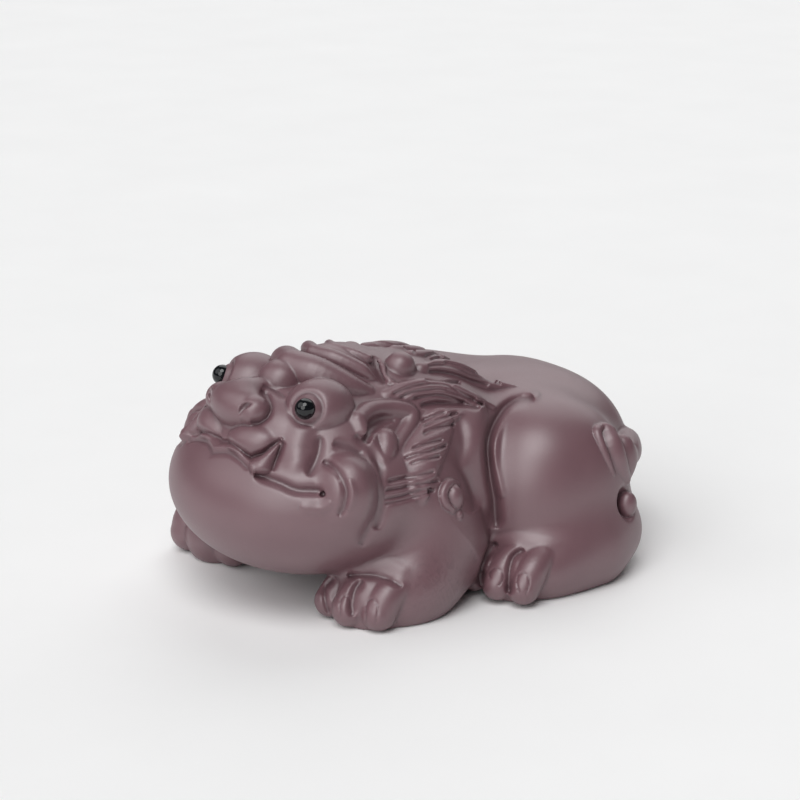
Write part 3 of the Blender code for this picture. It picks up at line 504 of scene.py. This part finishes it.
def makeSkin():
    vertices, quads = zeroLevel(*fieldGrid())
    print("clay surface:", len(quads), "quads")
    piece = pieceFrom("clay_skin", vertices, quads)
    fewer = piece.modifiers.new("fewer faces on the smooth parts", "DECIMATE")
    fewer.ratio = min(1.0, skin["triangles"] / (2 * len(quads)))
    graph = bpy.context.evaluated_depsgraph_get()
    mesh = bpy.data.meshes.new_from_object(piece.evaluated_get(graph))
    piece.modifiers.clear()
    piece.data = mesh
    place = np.empty(len(mesh.vertices) * 3)
    mesh.vertices.foreach_get("co", place)
    place = onZeroLevel(place.reshape(-1, 3) / mm - shift)
    place[:, 2] = np.maximum(place[:, 2], -shift[2])  # no point under the table's plane
    mesh.vertices.foreach_set("co", ((place + shift) * mm).ravel())
    slope, bend = fieldSlope(place, skin["slope"])
    # how far the skin bends inwards at each point: the mask for the painted shade in hollows and creases
    hollow = mesh.attributes.new("hollow", "FLOAT", "POINT")
    hollow.data.foreach_set("value", np.clip(0.5 - skin["fold"] * bend, 0, 1))
    mesh.shade_smooth()
    mesh.normals_split_custom_set_from_vertices(slope / np.linalg.norm(slope, axis=1)[:, None])
    mesh.update()
    return piece


def linear(hexColour):
    # sRGB hex to linear RGBA
    value = np.array([int(hexColour[i:i + 2], 16) for i in (1, 3, 5)]) / 255
    return (*np.where(value <= 0.04045, value / 12.92, ((value + 0.055) / 1.055) ** 2.4), 1.0)


def node(tree, kind, links=(), **settings):
    # adds a node; settings are its own values or its inputs' by name, links are (input, output)
    new = tree.nodes.new(kind)
    for name, value in settings.items():
        if hasattr(new, name):
            setattr(new, name, value)
        else:
            new.inputs[name.replace("_", " ")].default_value = value
    for name, output in links:
        tree.links.new(output, new.inputs[name])
    return new


def newMaterial(name):
    material = bpy.data.materials.new(name)
    material.use_nodes = True
    material.node_tree.nodes.clear()
    return material, material.node_tree


def purpleClay():
    # unglazed zisha stoneware, pressed and burnished: a matt satin sheen over a fine sandy grain
    # grain and patch: width of a sand grain and of a paler patch in mm; painted shade: the share of the dark
    # colour painted into hollows and creases, where shade falls
    finish = {"body": "#6a4a51", "pale": "#74535a", "paintedShadeColour": "#3c2a30", "paintedShade": 0.35, "matt": (0.38, 0.49),
              "gloss": 0.9, "ior": 1.6, "grain": 0.35, "grainDepth": 0.06, "grainShare": 0.25, "patch": 9.0}
    material, tree = newMaterial("zisha stoneware")
    place = node(tree, "ShaderNodeTexCoord").outputs["Object"]
    patches = node(tree, "ShaderNodeTexNoise", [("Vector", place)], Scale=1 / (finish["patch"] * mm),
                   Detail=3.0)
    grain = node(tree, "ShaderNodeTexNoise", [("Vector", place)], Scale=1 / (finish["grain"] * mm),
                 Detail=4.0)
    tone = node(tree, "ShaderNodeMix", [("Factor", patches.outputs["Fac"])], data_type="RGBA")
    tone.inputs["A"].default_value = linear(finish["body"])
    tone.inputs["B"].default_value = linear(finish["pale"])
    # painted shade: the clay is darkened towards a dark colour in hollows and creases, by how much the skin
    # bends inwards there
    hollow = node(tree, "ShaderNodeAttribute", attribute_name="hollow")
    shade = node(tree, "ShaderNodeMapRange", [("Value", hollow.outputs["Fac"])], From_Min=0.5, From_Max=1.0,
                 To_Min=0.0, To_Max=finish["paintedShade"])
    paintedShade = node(tree, "ShaderNodeMix", [("Factor", shade.outputs["Result"]), ("A", tone.outputs["Result"])],
                  data_type="RGBA")
    paintedShade.inputs["B"].default_value = linear(finish["paintedShadeColour"])
    rough = node(tree, "ShaderNodeMapRange", [("Value", grain.outputs["Fac"])], To_Min=finish["matt"][0],
                 To_Max=finish["matt"][1])
    bump = node(tree, "ShaderNodeBump", [("Height", grain.outputs["Fac"])], Strength=finish["grainShare"],
                Distance=finish["grainDepth"] * mm)
    shader = node(tree, "ShaderNodeBsdfPrincipled", [("Base Color", paintedShade.outputs["Result"]),
                                                     ("Roughness", rough.outputs["Result"]),
                                                     ("Normal", bump.outputs["Normal"])],
                  IOR=finish["ior"], Specular_IOR_Level=finish["gloss"])
    node(tree, "ShaderNodeOutputMaterial", [("Surface", shader.outputs["BSDF"])])
    return material


def blackBead():
    # polished black glass: near-black depth with a sharp window of light
    # haze: width of the faint cloudy patches in mm, where the polish is a little duller
    finish = {"colour": "#0c0e12", "haze": 1.2, "matt": (0.04, 0.10), "ior": 1.52}
    material, tree = newMaterial("polished black glass")
    place = node(tree, "ShaderNodeTexCoord").outputs["Object"]
    haze = node(tree, "ShaderNodeTexNoise", [("Vector", place)], Scale=1 / (finish["haze"] * mm), Detail=2.0)
    rough = node(tree, "ShaderNodeMapRange", [("Value", haze.outputs["Fac"])], To_Min=finish["matt"][0],
                 To_Max=finish["matt"][1])
    shader = node(tree, "ShaderNodeBsdfPrincipled", [("Roughness", rough.outputs["Result"])],
                  IOR=finish["ior"], Base_Color=linear(finish["colour"]))
    node(tree, "ShaderNodeOutputMaterial", [("Surface", shader.outputs["BSDF"])])
    return material


clayFinish = purpleClay()
beadFinish = blackBead()

claySkin = makeSkin()
claySkin.data.materials.clear()
claySkin.data.materials.append(clayFinish)
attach(claySkin, "root")
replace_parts(claySkin, "clay_body")
print("clay skin:", len(claySkin.data.polygons), "faces")


def bead(name, side):
    # ball: radius x (sin v cos u, sin v sin u, cos v), with one vertex at each pole
    turns, rows = 48, 24
    u = np.linspace(0, 2 * np.pi, turns, endpoint=False)
    v = np.linspace(0, np.pi, rows + 1)[1:-1, None]
    ring = np.stack([np.sin(v) * np.cos(u), np.sin(v) * np.sin(u), np.cos(v) + 0 * u], -1).reshape(-1, 3)
    ball = np.vstack([ring, (0, 0, 1), (0, 0, -1)]) * eye["diameter"] / 2
    first = np.arange(turns)
    after = np.roll(first, -1)
    bands = [np.stack([k * turns + first, (k + 1) * turns + first, (k + 1) * turns + after,
                       k * turns + after], 1)
             for k in range(rows - 2)]
    last = (rows - 2) * turns
    caps = [(len(ring), a, b) for a, b in zip(first, after)]
    caps += [(len(ring) + 1, last + b, last + a) for a, b in zip(first, after)]
    mesh = bpy.data.meshes.new(name)
    centre = (np.array(eye["place"]) * (side, 1, 1) + shift)
    mesh.from_pydata(((ball + centre) * mm).tolist(), [], np.vstack(bands).tolist() + caps)
    mesh.shade_smooth()
    piece = bpy.data.objects.new(name, mesh)
    bpy.context.scene.collection.objects.link(piece)
    mesh.materials.append(beadFinish)
    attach(piece, "root")
    return piece


for name, solid, side in (("bead_left", "eye_left", 1), ("bead_right", "eye_right", -1)):
    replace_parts(bead(name, side), solid)
print("beads made")


def floorPlane():
    # half: half the side in m; mottle: width of the paper's faint patches in m
    paper = {"half": 4.0, "white": "#f3f3f3", "whiter": "#f8f8f8", "mottle": 0.033}
    half = paper["half"]
    mesh = bpy.data.meshes.new("floor")
    mesh.from_pydata([(-half, -half, 0), (half, -half, 0), (half, half, 0),
                      (-half, half, 0)], [], [(0, 1, 2, 3)])
    floor = bpy.data.objects.new("floor", mesh)
    bpy.context.scene.collection.objects.link(floor)
    material, tree = newMaterial("white paper sweep")  # matt card: no gloss, very faint unevenness
    place = node(tree, "ShaderNodeTexCoord").outputs["Object"]
    mottle = node(tree, "ShaderNodeTexNoise", [("Vector", place)], Scale=1 / paper["mottle"], Detail=3.0)
    tone = node(tree, "ShaderNodeMix", [("Factor", mottle.outputs["Fac"])], data_type="RGBA")
    tone.inputs["A"].default_value = linear(paper["white"])
    tone.inputs["B"].default_value = linear(paper["whiter"])
    shader = node(tree, "ShaderNodeBsdfPrincipled", [("Base Color", tone.outputs["Result"])], Roughness=0.9)
    node(tree, "ShaderNodeOutputMaterial", [("Surface", shader.outputs["BSDF"])])
    mesh.materials.append(material)


def lampFrom(name, direction, strength, angle):
    # a very broad sun: even light from one side, with soft shadows
    lamp = bpy.data.lights.new(name, "SUN")
    lamp.energy, lamp.angle = strength, np.radians(angle)
    placed = bpy.data.objects.new(name, lamp)
    placed.rotation_euler = Vector(direction).to_track_quat("Z", "Y").to_euler()
    bpy.context.scene.collection.objects.link(placed)


floorPlane()
lampFrom("soft box overhead", (0.28, -0.32, 0.91), 1.45, 38)
lampFrom("soft box in front", (0.35, -0.75, 0.45), 1.05, 44)
lampFrom("sweep behind", (-0.5, 0.6, 0.62), 1.0, 60)
lampFrom("soft box on the far side", (-0.35, -0.6, 0.6), 0.6, 50)

world = bpy.data.worlds.new("studio")
world.use_nodes = True
tree = world.node_tree
# the camera meets a white wall, while the clay and the floor get only a little of the room's light
dim = node(tree, "ShaderNodeBackground", Color=linear("#f2f3f5"), Strength=0.08)
wall = node(tree, "ShaderNodeBackground", Color=linear("#f2f2f2"), Strength=1.0)
path = node(tree, "ShaderNodeLightPath")
seen = node(tree, "ShaderNodeMixShader", [("Fac", path.outputs["Is Camera Ray"])])
tree.links.new(dim.outputs["Background"], seen.inputs[1])
tree.links.new(wall.outputs["Background"], seen.inputs[2])
tree.links.new(seen.outputs["Shader"], tree.nodes["World Output"].inputs["Surface"])
bpy.context.scene.world = world

# azimuth and down in degrees, distance and aim in mm
shot = {"azimuth": 52.0, "down": 17.5, "distance": 400.0, "aim": (8, 0, 33), "lens": 104.4}
turn, tilt = np.radians(shot["azimuth"]), np.radians(shot["down"])
back = np.array([np.sin(turn) * np.cos(tilt), -np.cos(turn) * np.cos(tilt), np.sin(tilt)])
camera = bpy.data.objects.new("camera", bpy.data.cameras.new("camera"))
camera.data.lens = shot["lens"]
camera.data.sensor_width = 36.0
camera.data.clip_start = 0.01
camera.location = (np.array(shot["aim"]) + shift + shot["distance"] * back) * mm
camera.rotation_euler = Vector(back).to_track_quat("Z", "Y").to_euler()
bpy.context.scene.collection.objects.link(camera)
bpy.context.scene.camera = camera

bpy.context.scene.view_settings.view_transform = "Standard"
